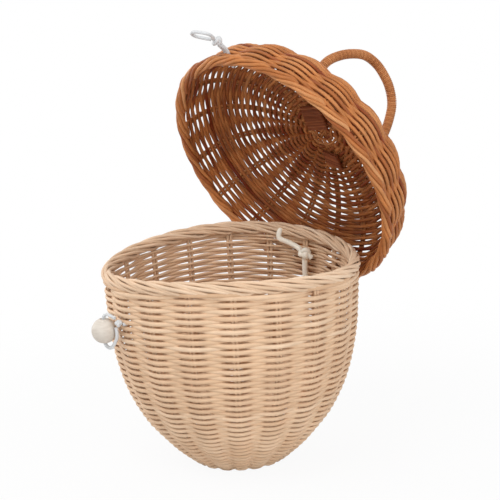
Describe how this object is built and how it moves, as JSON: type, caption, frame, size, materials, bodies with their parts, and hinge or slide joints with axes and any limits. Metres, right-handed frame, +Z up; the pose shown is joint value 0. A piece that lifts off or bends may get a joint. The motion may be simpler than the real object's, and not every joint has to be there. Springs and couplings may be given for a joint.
{
  "type": "lidded rattan storage basket",
  "caption": "Deep tapered woven rattan basket with a domed cord-hinged lid, a bound cane hoop on the crown, and a cord loop and wooden bead to close it.",
  "frame": {"origin": "centre of the base disc's underside, on the surface the basket stands on", "axes": "+Z up, +Y towards the lid's hinge, -Y towards the opening side with the bead"},
  "size_m": [0.2318, 0.3251, 0.3631],
  "materials": {
    "body_rattan": "satin",
    "border_rattan": "satin",
    "lid_rattan": "satin",
    "handle_cane": "satin",
    "bead_wood": "matte",
    "white_cord": "matte",
    "cream_cord": "matte"
  },
  "bodies": {
    "basket": {"base_disc": "body_rattan", "side_weave": "body_rattan", "rim_border": "border_rattan", "stake_pair_1": "body_rattan", "stake_pair_2": "body_rattan", "stake_pair_3": "body_rattan", "stake_pair_4": "body_rattan", "stake_pair_5": "body_rattan", "stake_pair_6": "body_rattan", "stake_pair_7": "body_rattan", "stake_pair_8": "body_rattan", "stake_pair_9": "body_rattan", "stake_pair_10": "body_rattan", "stake_pair_11": "body_rattan", "stake_pair_12": "body_rattan", "stake_pair_13": "body_rattan", "stake_pair_14": "body_rattan", "stake_pair_15": "body_rattan", "stake_pair_16": "body_rattan", "stake_pair_17": "body_rattan", "stake_pair_18": "body_rattan", "bead_knot": "white_cord", "bead_stem": "white_cord", "hinge_lacing": "cream_cord", "lacing_knot": "cream_cord", "lacing_tail": "cream_cord", "outer_lacing_left": "cream_cord", "outer_lacing_right": "cream_cord"},
    "lid": {"lid_weave": "lid_rattan", "lid_border": "lid_rattan", "lid_crown": "lid_rattan", "lid_stake_pair_1": "lid_rattan", "lid_stake_pair_2": "lid_rattan", "lid_stake_pair_3": "lid_rattan", "lid_stake_pair_4": "lid_rattan", "lid_stake_pair_5": "lid_rattan", "lid_stake_pair_6": "lid_rattan", "lid_stake_pair_7": "lid_rattan", "lid_stake_pair_8": "lid_rattan", "lid_stake_pair_9": "lid_rattan", "lid_stake_pair_10": "lid_rattan", "lid_stake_pair_11": "lid_rattan", "lid_stake_pair_12": "lid_rattan", "lid_stake_pair_13": "lid_rattan", "lid_stake_pair_14": "lid_rattan", "lid_stake_pair_15": "lid_rattan", "lid_stake_pair_16": "lid_rattan", "lid_stake_pair_17": "lid_rattan", "lid_stake_pair_18": "lid_rattan", "handle_cane": "handle_cane", "handle_binding": "handle_cane", "front_lashing": "lid_rattan", "rear_lashing": "lid_rattan", "loop_stem": "white_cord", "loop_knot": "white_cord", "lid_lacing": "cream_cord"},
    "loop": {"closure_loop": "white_cord"},
    "bead_drop": {"bead": "bead_wood", "bead_loop": "white_cord"}
  },
  "joints": [
    {"name": "lid_hinge", "type": "hinge", "parent": "basket", "child": "lid", "pos_m": [0, 0.0749, 0.1593], "axis": [1, 0, 0], "range_deg": [0, 64.6], "deforming": ["outer_lacing_left", "outer_lacing_right"]},
    {"name": "loop_swing", "type": "hinge", "parent": "lid", "child": "loop", "pos_m": [-0.0208, 0.0163, 0.35196], "axis": [0.9863, -0.0708, 0.1491], "range_deg": [-70, 45]},
    {"name": "bead_swing", "type": "hinge", "parent": "basket", "child": "bead_drop", "pos_m": [-0.02172, -0.10677, 0.139], "axis": [-0.1994, -0.9799, 0], "range_deg": [0, 120]}
  ]
}
